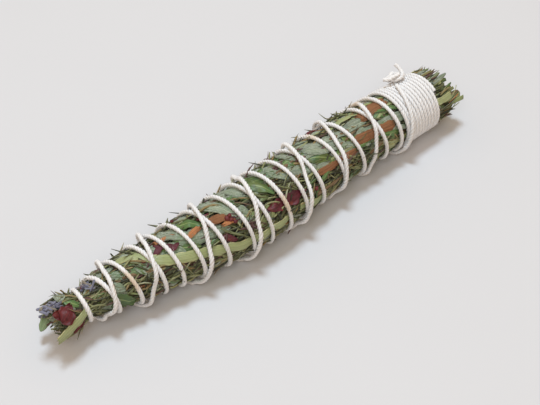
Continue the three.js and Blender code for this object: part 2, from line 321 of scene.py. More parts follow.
def lines_on_bundle(rng, x, turn, out, heading, slope, length, rings, bend=0.06):
    """Centre lines that follow the bundle's surface, headed some degrees off +X, with a slight bend."""
    share = np.linspace(-0.5, 0.5, rings)
    run = length[:, None] * share
    heading = np.radians(heading)[:, None]
    bow = (share**2 - 0.08) * length[:, None]
    aside = run * np.sin(heading) + bow * rng.normal(0, bend, len(x))[:, None]
    xs = x[:, None] + run * np.cos(heading)
    radius = np.maximum(herb_radius(xs) + out[:, None], 3 * MM)
    rise = run * slope[:, None] + bow * rng.normal(0, bend, len(x))[:, None]
    return on_bundle(xs, turn[:, None] + np.degrees(aside / radius), out[:, None] + rise)


# ---- where the frame's leaves lie ----


class Patch:
    """A place on the bundle that a thin piece covers: a curved middle line and a greatest half-width."""

    def __init__(self, x, turn, axis, curve, low, high, half, depth):
        self.x, self.turn, self.axis, self.curve = x, turn, np.asarray(axis, float), curve
        self.low, self.high, self.half, self.depth = low, high, half, depth

    def unrolled(self, x, turn):
        away = (np.asarray(turn) - self.turn + 180) % 360 - 180
        return x - self.x, herb_radius(x) * np.radians(away)

    def covers(self, x, turn, margin):
        u, v = self.unrolled(x, turn)
        a, b = u * self.axis[0] + v * self.axis[1], v * self.axis[0] - u * self.axis[1]
        share = (a - self.low) / (self.high - self.low)
        half = self.half * np.sqrt(np.clip(4 * share * (1 - share), 0, 1)) + margin
        return (share > 0) & (share < 1) & (np.abs(b - np.polyval(self.curve, a)) < half)

    def at(self, a, b):
        """The x and turn of a point `a` along the patch and `b` to the side of its middle line."""
        b = b + np.polyval(self.curve, a)
        u = a * self.axis[0] - b * self.axis[1]
        v = a * self.axis[1] + b * self.axis[0]
        x = self.x + u
        return x, self.turn + np.degrees(v / herb_radius(x))


UNDER_DEPTH = 0.9 * MM
CUT_STRAPS = ("grass_blade_3", "grass_blade_5", "grass_blade_6")


# Depths below the herbs' surface. A negative one stands proud of it.
RAISED = {"grass_blade": -0.4 * MM}
STRAP_DEPTH = -0.8 * MM
TUCKED_DEPTH = 0.4 * MM
# How much of its node's width a piece fills.
STRAP_SHARE, GRASS_SHARE, LARGE_PETAL_SHARE, LEAF_SHARE = 0.8, 0.82, 0.72, 0.85
LARGE_PETAL_HALF = 3 * MM


def patch_of(node):
    """The patch that a node of the frame covers."""
    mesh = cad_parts[node].data
    points = np.empty(len(mesh.vertices) * 3)
    mesh.vertices.foreach_get("co", points)
    points = points.reshape(-1, 3) - SHIFT
    x = points[:, 0]
    y_mid, z_mid = middle(x)
    away, up = y_mid - points[:, 1], points[:, 2] - z_mid
    angle = np.arctan2(up, away)
    centre = (x.min() + x.max()) / 2
    turn = np.degrees(np.angle(np.mean(np.exp(1j * angle))))
    u = x - centre
    v = herb_radius(x) * np.radians((np.degrees(angle) - turn + 180) % 360 - 180)
    axis = np.linalg.eigh(np.cov(np.stack([u, v])))[1][:, 1]
    axis *= 1 if axis[0] >= 0 else -1
    a, b = u * axis[0] + v * axis[1], v * axis[0] - u * axis[1]
    length = np.ptp(a)
    curve = np.polyfit(a, b, 2 + int(length / (18 * MM)))
    half = np.percentile(np.abs(b - np.polyval(curve, a)), 97)
    below = np.max(np.hypot(away, up) - herb_radius(x)) < -0.5 * UNDER_DEPTH
    depth = TUCKED_DEPTH if below else RAISED.get(node.rsplit("_", 1)[0], 0)
    if node in CUT_STRAPS:
        depth = STRAP_DEPTH
        half *= STRAP_SHARE
    if node.startswith("grass"):
        half *= GRASS_SHARE
    large_petal = node.startswith("petal") and half > LARGE_PETAL_HALF
    half *= LARGE_PETAL_SHARE if large_petal else LEAF_SHARE
    return Patch(centre, turn, axis, curve, a.min(), a.max(), half, depth)


def nodes_named(stem):
    return sorted((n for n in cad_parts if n.startswith(stem)), key=lambda n: int(n.rsplit("_", 1)[1]))


LEAF_KINDS = ("sage_leaf", "bay_leaf", "grass_blade", "bark_strip", "petal", "lavender_head")
PATCHES = {node: patch_of(node) for kind in LEAF_KINDS for node in nodes_named(kind)}

# Towards the butt the loose pieces are straight slivers, and the rest are whole leaves.
SLIVERS_FROM = 18 * MM
# Leaves of no node of their own, which fill the bundle's surface under and between those of the frame:
# how many, then the ranges of x and turn, the heading, and the ranges of length and width.
LOOSE_LEAVES = {
    "sage": [
        (10, (-106, -62), (40, 340), -25, (8, 13), (3.6, 5.4)),
        (12, (-58, 24), (58, 130), -35, (15, 24), (6.5, 8.5)),
        (18, (-58, 24), (130, 330), 25, (16, 28), (6, 9)),
        (20, (22, 68), (40, 130), -4, (20, 38), (1.8, 3.4)),
        (16, (22, 68), (130, 340), 6, (22, 40), (4, 6)),
        (5, (-88, -20), (-40, 24), -10, (7, 12), (3.6, 5)),
    ],
    "bay": [
        (12, (-107, -62), (0, 360), -20, (7, 13), (3.2, 5)),
        (9, (-56, 24), (50, 135), -25, (12, 20), (4.5, 6.5)),
        (12, (-56, 24), (135, 330), 20, (14, 24), (4.5, 7.5)),
        (14, (20, 70), (-30, 130), -4, (16, 32), (1.2, 2.6)),
        (10, (20, 70), (130, 340), 6, (20, 38), (3, 4.6)),
    ],
    "grass": [
        (5, (-70, 4), (-45, 60), 0, (10, 20), (1.6, 2.6)),
        (22, (18, 70), (-40, 125), -3, (16, 34), (1.0, 2.2)),
        (14, (-60, 70), (130, 330), 6, (20, 44), (2.0, 4.0)),
    ],
}
# Places, headings, lengths and widths of the odd bright bits, as (x, turn, heading, length, width).
BRIGHT_BITS = {
    "bark": [(-34, 72, -12, 8, 3.4), (-44, 72, 12, 6, 2.2), (-30, 56, -5, 5, 1.6), (-55, 92, -10, 8, 1.4)],
    "petal": [
        (-37, 90, -8, 5.5, 2), (-60, 74, 20, 7, 2.2), (-54, 64, 15, 5, 2), (-66, 70, 10, 5, 1.8),
        (-104, 52, 30, 8, 6), (-101, 2, 28, 7, 1.3), (-99, -7, 20, 5, 1.1), (-28, 140, 10, 4, 1.5),
    ],
    "grass": [(-106.5, -14, 32, 9, 1.5), (-72, 96, -30, 9, 2.6)],
}


def loose_patches():
    """The patches of all loose leaves and bright bits, by kind."""
    rng = np.random.default_rng(5)
    patches = {kind: [] for kind in ("sage", "bay", "grass", "bark", "petal")}

    def add(kind, x, turn, heading, length, width, depth):
        way = np.radians(heading)
        curve = [rng.normal(0, 5), 0, 0]
        axis = (np.cos(way), np.sin(way))
        low, high, half = -length / 2 * MM, length / 2 * MM, width / 2 * MM
        patches[kind].append(Patch(x * MM, turn, axis, curve, low, high, half, depth * MM))

    for kind, groups in LOOSE_LEAVES.items():
        for count, xs, turns, heading, lengths, widths in groups:
            for _ in range(count):
                x, turn = rng.uniform(*xs), rng.uniform(*turns)
                way = rng.normal(heading, 12)
                depth = rng.uniform(-0.1, 0.9) if xs[0] > 0 else rng.uniform(0.45, 1.0)
                add(kind, x, turn, way, rng.uniform(*lengths), rng.uniform(*widths), depth)
    for kind, bits in BRIGHT_BITS.items():
        for bit in bits:
            add(kind, *bit, -0.3)
    return patches


LOOSE = loose_patches()


def is_covered(x, turn, margin):
    """Whether a leaf lies there, over the needles."""
    patches = [*PATCHES.values(), *(patch for kind in LOOSE.values() for patch in kind)]
    return np.any([patch.covers(x, turn, margin) for patch in patches], axis=0)


# ---- leaves ----


def ripples(rng, a, b, waves, smallest, largest):
    """A smooth random field of about unit height over two coordinates, with waves of these lengths."""
    total = np.zeros(np.broadcast(a, b).shape)
    for _ in range(waves):
        length = smallest * (largest / smallest) ** rng.random()
        way = rng.uniform(0, 2 * np.pi)
        phase = rng.uniform(0, 2 * np.pi)
        total += np.sin((a * np.cos(way) + b * np.sin(way)) * 2 * np.pi / length + phase)
    return total / np.sqrt(waves / 2)


def leaf_outline(s):
    return np.sin(np.pi * np.clip(s, 0.004, 0.996) ** 0.85) ** 0.7


def strap_outline(s):
    return np.minimum(1, 0.7 + 4 * np.minimum(s, 1 - s))


class LeafShape:
    """The form of one kind of thin piece: how its surface folds, crumples and is veined."""

    def __init__(
        self,
        outline,
        thickness,
        crumple,
        rough=0.0,
        arch=0.0,
        groove=0.0,
        veins=(0.0, 1),
        ridges=(0.0, 1),
        ragged=0.0,
        curl=0.0,
    ):
        self.outline, self.thickness, self.crumple, self.rough = outline, thickness, crumple, rough
        self.arch, self.groove, self.veins, self.ridges = arch, groove, veins, ridges
        self.ragged, self.curl = ragged, curl

    def height(self, rng, s, t, a, b, loose):
        """How far the piece stands above the bundle there; loose is 0 under string and 1 well away."""
        vein = np.abs(np.sin(np.pi * (s * self.veins[1] - np.abs(t) * 1.6)))
        return (
            self.arch * (1 - t**2)
            - self.groove * np.exp(-((t / 0.12) ** 2))
            - self.veins[0] * (1 - vein) ** 4
            + self.ridges[0] * np.cos(np.pi * self.ridges[1] * t + 2 * ripples(rng, s, 0 * s, 2, 0.5, 1.5))
            + self.rough * ripples(rng, a, b, 7, 0.7 * MM, 2.2 * MM)
            + (0.25 + 0.75 * loose) * self.crumple * ripples(rng, a, b, 5, 4 * MM, 14 * MM)
            + loose * self.curl * np.abs(t) ** 5 * (1 + 0.6 * ripples(rng, a, 0 * a, 3, 3 * MM, 12 * MM))
        )

    def add(self, pieces, rng, patch, rows, columns):
        s = np.linspace(0, 1, rows)[:, None]
        t = np.linspace(-1, 1, columns)[None, :]
        frays = self.ragged * ripples(rng, t, 0 * t, 6, 0.15, 1.2) * np.clip(4 * np.abs(s - 0.5) - 1, 0, 1)
        a = patch.low + (patch.high - patch.low) * s + frays * np.sign(s - 0.5)
        edge = 1 + 0.05 * ripples(rng, a, t, 5, 1.5 * MM, 6 * MM)
        x, turn = patch.at(a, t * patch.half * self.outline(s) * edge)
        rest = swell(x, turn)
        loose = (rest - PRESSED) / (PROUD - PRESSED)
        narrow = min(1.0, patch.half / (2.6 * MM))
        out = rest - patch.depth + narrow * self.height(rng, s, t, a, patch.half * t, loose)
        upper = on_bundle(x, turn, out)
        lower = on_bundle(x, turn, out - self.thickness)
        along = np.broadcast_to(a - patch.low, x.shape).ravel()
        across = np.broadcast_to(t, x.shape).ravel()
        pieces.add(
            np.concatenate([upper.reshape(-1, 3), lower.reshape(-1, 3)]),
            shell_faces(rows, columns),
            tone=rng.random(),
            along=np.tile(along, 2),
            across=np.tile(across, 2),
            under=np.repeat([0.0, 1.0], along.size),
        )


SAGE = LeafShape(
    leaf_outline,
    thickness=0.4 * MM,
    crumple=0.2 * MM,
    rough=0.05 * MM,
    arch=0.45 * MM,
    groove=0.3 * MM,
    veins=(0.12 * MM, 9),
    curl=0.5 * MM,
)
BAY = LeafShape(
    leaf_outline,
    thickness=0.3 * MM,
    crumple=0.22 * MM,
    rough=0.02 * MM,
    arch=0.35 * MM,
    groove=0.2 * MM,
    veins=(0.05 * MM, 7),
    curl=0.6 * MM,
)
GRASS = LeafShape(
    strap_outline,
    thickness=0.35 * MM,
    crumple=0.03 * MM,
    arch=0.2 * MM,
    groove=0.1 * MM,
    ridges=(0.008 * MM, 12),
    ragged=0.2 * MM,
)
SLIVER = LeafShape(
    strap_outline,
    thickness=0.35 * MM,
    crumple=0.05 * MM,
    arch=0.15 * MM,
    ridges=(0.04 * MM, 5),
    ragged=0.9 * MM,
)
STRAP = LeafShape(
    lambda s: np.ones_like(s),
    thickness=0.4 * MM,
    crumple=0.03 * MM,
    groove=0.12 * MM,
    ridges=(0.02 * MM, 8),
    ragged=0.1 * MM,
)
BARK = LeafShape(
    strap_outline,
    thickness=1.1 * MM,
    crumple=0.06 * MM,
    rough=0.05 * MM,
    arch=0.4 * MM,
    ridges=(0.08 * MM, 7),
    ragged=0.7 * MM,
)
PETAL = LeafShape(
    leaf_outline,
    thickness=0.25 * MM,
    crumple=0.42 * MM,
    rough=0.1 * MM,
    arch=0.3 * MM,
    veins=(0.05 * MM, 14),
    curl=1.1 * MM,
)


def leaf_pieces(seed, kind, label, shape, material, slot, rows, columns):
    """One piece for each of the frame's leaves of a kind, and one for the loose ones of their sort."""
    for i, node in enumerate(nodes_named(kind)):
        pieces = Pieces()
        patch = PATCHES[node]
        long = max(1.0, (patch.high - patch.low) / (30 * MM))
        form = STRAP if node in CUT_STRAPS else shape
        form.add(pieces, np.random.default_rng([seed, i]), patch, int(rows * long), columns)
        show(f"{label}_{i + 1}", pieces, material, slot, node)
    loose = Pieces()
    rng = np.random.default_rng([seed, 99])
    for patch in LOOSE[slot]:
        form = SLIVER if patch.x > SLIVERS_FROM and slot != "bark" else shape
        form.add(loose, rng, patch, int(rows * 0.8), int(columns * 0.6) // 2 * 2 + 1)
    show(f"{label}_between", loose, material, slot)


# ---- shader maths ----


class Value:
    """A socket that can be used in an expression."""

    def __init__(self, shader, socket):
        self.shader, self.socket = shader, socket

    def maths(self, operation, *others):
        return self.shader.node("ShaderNodeMath", {"operation": operation}, dict(enumerate([self, *others])))

    def __add__(self, other):
        return self.maths("ADD", other)

    __radd__ = __add__

    def __sub__(self, other):
        return self.maths("SUBTRACT", other)

    def __rsub__(self, other):
        return self.shader.node("ShaderNodeMath", {"operation": "SUBTRACT"}, {0: other, 1: self})

    def __mul__(self, other):
        return self.maths("MULTIPLY", other)

    __rmul__ = __mul__

    def __pow__(self, other):
        return self.maths("POWER", other)

    def ramp(self, low, high):
        """0 below low, 1 above high and smooth between them."""
        values = {"Value": self, "From Min": low, "From Max": high}
        return self.shader.node("ShaderNodeMapRange", {"interpolation_type": "SMOOTHSTEP"}, values, "Result")


class Shader:
    """A material whose nodes are added by expressions."""

    def __init__(self, name):
        self.material = bpy.data.materials.new(name)
        self.material.use_nodes = True
        self.tree = self.material.node_tree
        self.surface = self.tree.nodes["Principled BSDF"]

    def node(self, kind, settings, values, out=0):
        """Adds a node, sets its settings, then fills or links its sockets, and gives one of its outputs."""
        node = self.tree.nodes.new(kind)
        for key, value in settings.items():
            setattr(node, key, value)
        for key, value in values.items():
            self.fill(node.inputs[key], value)
        return Value(self, node.outputs[out])

    def fill(self, socket, value):
        if isinstance(value, Value):
            self.tree.links.new(value.socket, socket)
        else:
            socket.default_value = value

    def attribute(self, name):
        return self.node("ShaderNodeAttribute", {"attribute_name": name}, {}, "Fac")

    def position(self):
        return self.node("ShaderNodeTexCoord", {}, {}, "Object")

    def distance_to(self, centre):
        values = {0: self.position(), 1: centre}
        return self.node("ShaderNodeVectorMath", {"operation": "DISTANCE"}, values, "Value")

    def vector(self, x, y, z):
        return self.node("ShaderNodeCombineXYZ", {}, {"X": x, "Y": y, "Z": z})

    def noise(self, vector, scale, detail=3.0):
        values = {"Vector": vector, "Scale": scale, "Detail": detail}
        return self.node("ShaderNodeTexNoise", {}, values, "Fac")

    def mix(self, factor, first, second):
        """A colour between two others."""
        settings = {"data_type": "RGBA", "clamp_factor": True}
        return self.node("ShaderNodeMix", settings, {0: factor, 6: first, 7: second}, 2)

    def finish(self, colour, roughness, bump=None, bump_distance=0.1 * MM, **constants):
        self.fill(self.surface.inputs["Base Color"], colour)
        self.fill(self.surface.inputs["Roughness"], roughness)
        if bump is not None:
            values = {"Height": bump, "Distance": bump_distance, "Strength": 1.0}
            self.fill(self.surface.inputs["Normal"], self.node("ShaderNodeBump", {}, values))
        for key, value in constants.items():
            self.surface.inputs[key.replace("_", " ")].default_value = value
        return self.material


def rgb(red, green, blue):
    """A colour from its everyday 0 to 255 numbers, as the linear one that shaders use."""
    values = np.array([red, green, blue]) / 255
    linear = np.where(values < 0.04045, values / 12.92, ((values + 0.055) / 1.055) ** 2.4)
    return (*(float(v) for v in linear), 1.0)


def tinted(colour, factor):
    return (*(min(1.0, c * factor) for c in colour[:3]), 1.0)


# ---- materials ----


def streaks(shader, along_scale, across_scale, detail=3.0):
    """Noise drawn out along a piece, different on each."""
    tone, along, across = (shader.attribute(key) for key in ("tone", "along", "across"))
    return shader.noise(shader.vector(along * along_scale, across * across_scale, tone * 40), 1.0, detail)


def needle_material(settings):
    shader = Shader("dried rosemary")
    tone, under, across = (shader.attribute(key) for key in ("tone", "under", "across"))
    green = shader.mix(tone.ramp(0.3, 0.45), tinted(settings.needle_colour, 0.22), settings.needle_colour)
    green = shader.mix(tone.ramp(0.62, 0.7), green, rgb(150, 152, 106))
    green = shader.mix(tone.ramp(0.8, 0.84), green, rgb(146, 124, 80))
    pale = shader.mix(tone.ramp(0.3, 0.9), rgb(100, 102, 72), rgb(186, 184, 152))
    colour = shader.mix(under * 0.8, green, pale)
    fibre = streaks(shader, 500, 2)
    colour = shader.mix(fibre.ramp(0.35, 0.7) * 0.45, colour, rgb(46, 40, 26))
    colour = shader.mix(tone.ramp(0.9, 0.93), colour, rgb(92, 64, 58))
    # Painted shade: pieces of tone 0, the sprigs' cores, go near black to stand for the dark gaps between
    # needles; needles never reach it.
    colour = shader.mix((1 - tone).ramp(0.93, 0.99), colour, rgb(26, 24, 15))
    groove = (across**2).ramp(0.0, 0.25)
    return shader.finish(colour, fibre * 0.3 + 0.45, groove * 0.6 + fibre, 0.08 * MM)


def stem_material(settings):
    shader = Shader("woody stem")
    fibre = streaks(shader, 160, 5)
    spots = shader.noise(shader.position(), 900)
    colour = shader.mix(fibre.ramp(0.3, 0.7), rgb(82, 62, 42), settings.stem_colour)
    colour = shader.mix(spots.ramp(0.6, 0.75) * 0.6, colour, rgb(160, 140, 104))
    return shader.finish(colour, fibre * 0.2 + 0.7, fibre, 0.15 * MM)


def sage_material(settings):
    shader = Shader("velvety sage")
    tone, under, across = (shader.attribute(key) for key in ("tone", "under", "across"))
    pebbles = shader.noise(shader.position(), 900, 4)
    patches = shader.noise(shader.position(), 160, 3)
    veins = streaks(shader, 260, 1.5)
    wrinkles = streaks(shader, 70, 12, 4)
    base = shader.mix(tone, tinted(settings.sage_colour, 0.7), tinted(settings.sage_colour, 1.12))
    # Painted shade: the leaf is darker in the wrinkles' hollows, where their bump is low.
    base = shader.mix(wrinkles.ramp(0.42, 0.6), tinted(settings.sage_colour, 0.5), base)
    colour = shader.mix(patches.ramp(0.4, 0.75) * 0.5, base, rgb(110, 134, 98))
    colour = shader.mix(pebbles.ramp(0.5, 0.72) * 0.35, colour, rgb(194, 202, 188))
    colour = shader.mix((1 - (across**2).ramp(0.0, 0.01)) * 0.35, colour, rgb(196, 200, 168))
    colour = shader.mix(veins.ramp(0.62, 0.74) * 0.2, colour, rgb(84, 100, 70))
    colour = shader.mix(under * 0.6, colour, rgb(176, 182, 160))
    sheen = {"Sheen_Weight": 0.3, "Sheen_Roughness": 0.5}
    return shader.finish(colour, pebbles * 0.1 + 0.82, pebbles + wrinkles * 1.5, 0.2 * MM, **sheen)


def bay_material(settings):
    shader = Shader("dried green leaf")
    tone, under, across = (shader.attribute(key) for key in ("tone", "under", "across"))
    patches = shader.noise(shader.position(), 140, 4)
    veins = streaks(shader, 420, 2.2)
    base = shader.mix(tone, tinted(settings.bay_colour, 0.6), tinted(settings.bay_colour, 1.15))
    colour = shader.mix(patches.ramp(0.45, 0.7) * 0.7, base, rgb(92, 98, 42))
    colour = shader.mix(veins.ramp(0.55, 0.7) * 0.5, colour, rgb(34, 56, 28))
    colour = shader.mix((1 - (across**2).ramp(0.0, 0.012)) * 0.7, colour, rgb(150, 164, 104))
    colour = shader.mix(under * 0.6, colour, rgb(132, 148, 108))
    return shader.finish(colour, patches * 0.25 + 0.34, veins + patches, 0.15 * MM)


def grass_material(settings):
    shader = Shader("dried lemongrass")
    tone, across = shader.attribute("tone"), shader.attribute("across")
    lines = streaks(shader, 14, 11, 2)
    fine = streaks(shader, 40, 30, 2)
    colour = shader.mix(lines.ramp(0.3, 0.7), tinted(settings.grass_colour, 0.6), settings.grass_colour)
    colour = shader.mix(fine.ramp(0.55, 0.7) * 0.45, colour, rgb(206, 204, 160))
    colour = shader.mix(tone.ramp(0.3, 0.9) * 0.5, colour, rgb(126, 146, 84))
    colour = shader.mix((across**2).ramp(0.8, 0.98) * 0.6, colour, rgb(204, 188, 136))
    return shader.finish(colour, fine * 0.2 + 0.33, lines + fine, 0.07 * MM)


def petal_material(settings):
    shader = Shader("dried petal")
    tone = shader.attribute("tone")
    veins = streaks(shader, 120, 7)
    patches = shader.noise(shader.position(), 220, 3)
    colour = shader.mix(tone, settings.petal_colour, rgb(84, 26, 44))
    colour = shader.mix(veins.ramp(0.4, 0.7) * 0.6, colour, rgb(44, 14, 16))
    colour = shader.mix(patches.ramp(0.55, 0.72) * 0.6, colour, rgb(136, 62, 40))
    return shader.finish(colour, veins * 0.2 + 0.45, veins + patches, 0.15 * MM)


def bark_material(settings):
    shader = Shader("fibrous bark")
    tone = shader.attribute("tone")
    fibre = streaks(shader, 60, 9)
    fine = streaks(shader, 250, 32)
    colour = shader.mix(fibre.ramp(0.3, 0.6), tinted(settings.bark_colour, 0.42), settings.bark_colour)
    colour = shader.mix(fine.ramp(0.5, 0.75) * 0.6, colour, rgb(214, 150, 92))
    colour = shader.mix(tone.ramp(0.4, 0.5) * 0.72, colour, rgb(104, 68, 40))
    return shader.finish(colour, fine * 0.2 + 0.65, fibre + fine * 0.5, 0.25 * MM)


def lavender_material(settings):
    shader = Shader("lavender flowers")
    tone = shader.attribute("tone")
    ribs = streaks(shader, 300, 4)
    colour = shader.mix(tone.ramp(0.0, 0.7), rgb(64, 60, 82), settings.lavender_colour)
    colour = shader.mix(tone.ramp(0.8, 0.9), colour, rgb(122, 110, 92))
    colour = shader.mix(ribs.ramp(0.5, 0.7) * 0.5, colour, rgb(168, 172, 176))
    return shader.finish(colour, ribs * 0.1 + 0.8, ribs, 0.12 * MM, Sheen_Weight=0.3)


STAINS = [(-76, 42), (-3, 34), (31, 108), (60, 118)]  # places where the string is stained tan


def cotton_material(settings):
    shader = Shader("twisted cotton")
    tone = shader.attribute("tone")
    fibres = streaks(shader, 900, 3.5, 4)
    stains = shader.noise(shader.position(), 70, 2).ramp(0.68, 0.78)
    for x, turn in STAINS:
        centre = tuple(float(v) for v in on_bundle(x * MM, turn, STRING_LAY))
        stains = stains + (1 - shader.distance_to(centre).ramp(2.5 * MM, 6.5 * MM))
    # Painted shade: on the string, tone holds how deep a point lies in the groove between the plies, and the
    # colour darkens there.
    colour = shader.mix(tone * 0.4, settings.string_colour, rgb(190, 180, 170))
    colour = shader.mix(fibres.ramp(0.45, 0.75) * 0.3, colour, rgb(206, 196, 186))
    colour = shader.mix(stains * 0.55, colour, rgb(206, 172, 122))
    return shader.finish(colour, fibres * 0.1 + 0.85, fibres, 0.1 * MM, Sheen_Weight=0.25)


def floor_material(settings):
    shader = Shader("pale floor")
    mottle = shader.noise(shader.position(), 12, 2)
    colour = shader.mix(mottle * 0.3, settings.floor_colour, tinted(settings.floor_colour, 0.94))
    return shader.finish(colour, mottle * 0.1 + 0.75)


# ---- the pieces ----


def settings_of(context):
    return context.scene.herb_bundle


TIP_X, BUTT_X = -105 * MM, 102 * MM
COLLAR_X = (71.5 * MM, 94.5 * MM)
SPRIG_TWIST = 120  # degrees a metre
CREST = 135  # the turn of the sprig whose needles stand out most


BUTT_TRIM = 8 * MM


def trimmed(x, turn):
    """Places moved in from the ends: the tip is short below the cut blade and the butt short at the top."""
    under_blade = np.cos(np.radians(turn + 35)) > 0.2
    at_top = np.clip(np.cos(np.radians(turn - 120)) + 0.2, 0, 1.2) * BUTT_TRIM
    return np.where(x > 90 * MM, x - at_top, np.where((x < -90 * MM) & under_blade, x + 4.5 * MM, x))


def add_needles(pieces, rng, settings, x, turn, out, heading, slope, fine=True):
    """Adds curled, tapered needles at these places."""
    count = len(x)
    length = settings.needle_length * rng.uniform(0.45, 1.35, count)
    rings = 5 if fine else 3
    line = lines_on_bundle(rng, x, turn, out, heading, slope, length, rings, 0.35)
    taper = np.interp(np.linspace(0, 1, rings), [0, 0.2, 0.5, 0.8, 1], [0.5, 0.95, 1, 0.85, 0.25])
    wide = settings.needle_width / 2 * rng.uniform(0.75, 1.25, (count, 1)) * taper
    thick = wide * rng.uniform(0.35, 0.6, (count, 1))
    add_strips(pieces, line, NEEDLE, wide, thick, rng.normal(0, 0.9, count), rng.uniform(0.1, 1, count))


def sprig_shade_core(pieces, rng, middle_turn):
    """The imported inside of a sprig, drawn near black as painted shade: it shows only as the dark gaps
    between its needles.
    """
    x = np.linspace(-101, 103, 52) * MM
    turn = middle_turn + SPRIG_TWIST * x + rng.normal(0, 1.5, x.size)
    out = -4.6 * MM + rng.normal(0, 0.25 * MM, x.size)
    line = on_bundle(x, turn, out)[None]
    wide = (herb_radius(x) * 0.42 * rng.uniform(0.9, 1.05, x.size))[None]
    # Tone 0 makes the rosemary shader paint this core near black, as painted shade.
    add_strips(pieces, line, ROUND, wide, wide * 0.42, 0.0, 0.0)


def sprig_pieces(settings, index, material):
    """One rosemary sprig: its packed inside, drawn near black as painted shade, needles in several layers and
    the loose ends that stand out.
    """
    rng = np.random.default_rng([11, index])
    pieces = Pieces()
    middle_turn = 45 * index
    sprig_shade_core(pieces, rng, middle_turn)

    def spread(count, low=-105 * MM, high=100 * MM):
        x = rng.uniform(low, high, count)
        return x, middle_turn + SPRIG_TWIST * x + rng.uniform(-23, 23, count)

    def headings(x, spread_out):
        return rng.normal(0, spread_out, x.size) * (1 - 0.8 * smoothstep(x, 84 * MM, 94 * MM))

    x, turn = spread(settings.needles_below)
    out = swell(x, turn) - rng.uniform(1.2 * MM, 3.0 * MM, x.size)
    add_needles(pieces, rng, settings, x, turn, out, headings(x, 34), np.zeros(x.size), False)

    x, turn = spread(settings.needles_above)
    in_collar = (x > COLLAR_X[0] - 3 * MM) & (x < COLLAR_X[1] + 3 * MM)
    keep = ~in_collar & (~is_covered(x, turn, 0.0) | (rng.random(x.size) < 0.06))
    x, turn = x[keep], turn[keep]
    out = swell(x, turn) - rng.uniform(-0.2 * MM, 1.1 * MM, x.size)
    add_needles(pieces, rng, settings, x, turn, out, headings(x, 30), rng.normal(0, 0.05, x.size))

    x, turn = spread(360 if middle_turn == CREST else 110, -100 * MM, 66 * MM)
    heading = rng.normal(0, 30, x.size) + 180 * (rng.random(x.size) < 0.5)
    reach_x = x + 6 * MM * np.cos(np.radians(heading))
    free = np.minimum(string_gap(x, turn), string_gap(reach_x, turn)) > 1.8 * MM
    keep = free & (~is_covered(x, turn, 0.0) | (turn > CREST - 14))
    x, turn, heading = x[keep], turn[keep], heading[keep]
    slope = rng.uniform(0.1, 0.4, x.size) * (2 if middle_turn == CREST else 1)
    add_needles(pieces, rng, settings, x, turn, swell(x, turn) + 0.4 * MM, heading, slope)

    for low, high, count, splay in ((TIP_X, -98 * MM, 22, 20), (96 * MM, BUTT_X, 14, 8)):
        x, turn = spread(count, low, high)
        x = trimmed(x, turn)
        out = -herb_radius(x) * 0.85 * (1 - np.sqrt(rng.random(count)))
        slope = np.sign(x) * rng.uniform(-0.05, 0.25, count)
        add_needles(pieces, rng, settings, x, turn, out, rng.normal(0, splay, count), slope)

    count = 9
    x, turn = spread(count, -90 * MM, 66 * MM)
    length = rng.uniform(12, 30, count) * MM
    out = swell(x, turn) - 0.8 * MM
    line = lines_on_bundle(rng, x, turn, out, rng.normal(0, 10, count), np.zeros(count), length, 12)
    wide = rng.uniform(0.35, 0.6, (count, 1)) * MM * np.ones((1, 12))
    add_strips(pieces, line, ROUND, wide, wide, 0.0, rng.uniform(0.75, 1.0, count))
    return show(f"rosemary_{index + 1}", pieces, material, "rosemary", f"rosemary_sprig_{index + 1}")


TWIGS = 16


def twig_piece(material):
    """Short twigs caught in the surface of the bundle, some of them where the frame's bark lies."""
    rng = np.random.default_rng(13)
    pieces = Pieces()
    x = np.concatenate([[54, 44, 24, -66, -84], rng.uniform(-80, 62, TWIGS - 5)]) * MM
    turn = np.concatenate([[14, 66, 4, 44, 52], rng.uniform(60, 300, TWIGS - 5)])
    length = rng.uniform(10, 24, TWIGS) * MM
    heading, level = rng.normal(0, 9, TWIGS), np.zeros(TWIGS)
    line = lines_on_bundle(rng, x, turn, swell(x, turn) - 0.5 * MM, heading, level, length, 16)
    knobs = 1 + 0.16 * ripples(rng, np.arange(16) * 1.0, np.arange(TWIGS)[:, None] * 9.0, 5, 2, 7)
    wide = rng.uniform(0.55, 1.1, (TWIGS, 1)) * MM * knobs
    add_strips(pieces, line, ROUND, wide, wide * 0.8, 0.0, rng.random(TWIGS))
    return show("twigs", pieces, material, "stem")


def stem_pieces(index, material):
    """Woody stems that run through the bundle and show, cut across, at its butt."""
    rng = np.random.default_rng([12, index])
    pieces = Pieces()
    count, rings = 9, 40
    start = rng.uniform(-98, -80, count) * MM
    end = rng.uniform(103, 110, count) * MM
    share = np.linspace(0, 1, rings)
    turn = 30 + 90 * index + rng.uniform(-45, 45, (count, 1))
    end = trimmed(end, turn[:, 0])
    x = start[:, None] + (end - start)[:, None] * share
    depth = rng.uniform(0.12, 0.92, (count, 1))
    turn = turn + 6 * np.sin(x * 60 + rng.uniform(0, 6, (count, 1)))
    line = on_bundle(x, turn, -herb_radius(x) * (1 - depth) - 0.6 * MM)
    knobs = 1 + 0.1 * np.sin(share * 55 + rng.uniform(0, 6, (count, 1)))
    wide = rng.uniform(0.7, 1.5, (count, 1)) * MM * knobs
    add_strips(pieces, line, ROUND, wide, wide, 0.0, rng.uniform(0, 1, count))
    return show(f"stems_{index + 1}", pieces, material, "stem", f"woody_stem_{index + 1}")


FLAKE = np.array(
    [(-1, -0.3), (-0.5, 0.5), (0, 0.2), (0.5, 0.5), (1, -0.3), (0.5, -0.4), (0, -0.7), (-0.5, -0.4)]
)


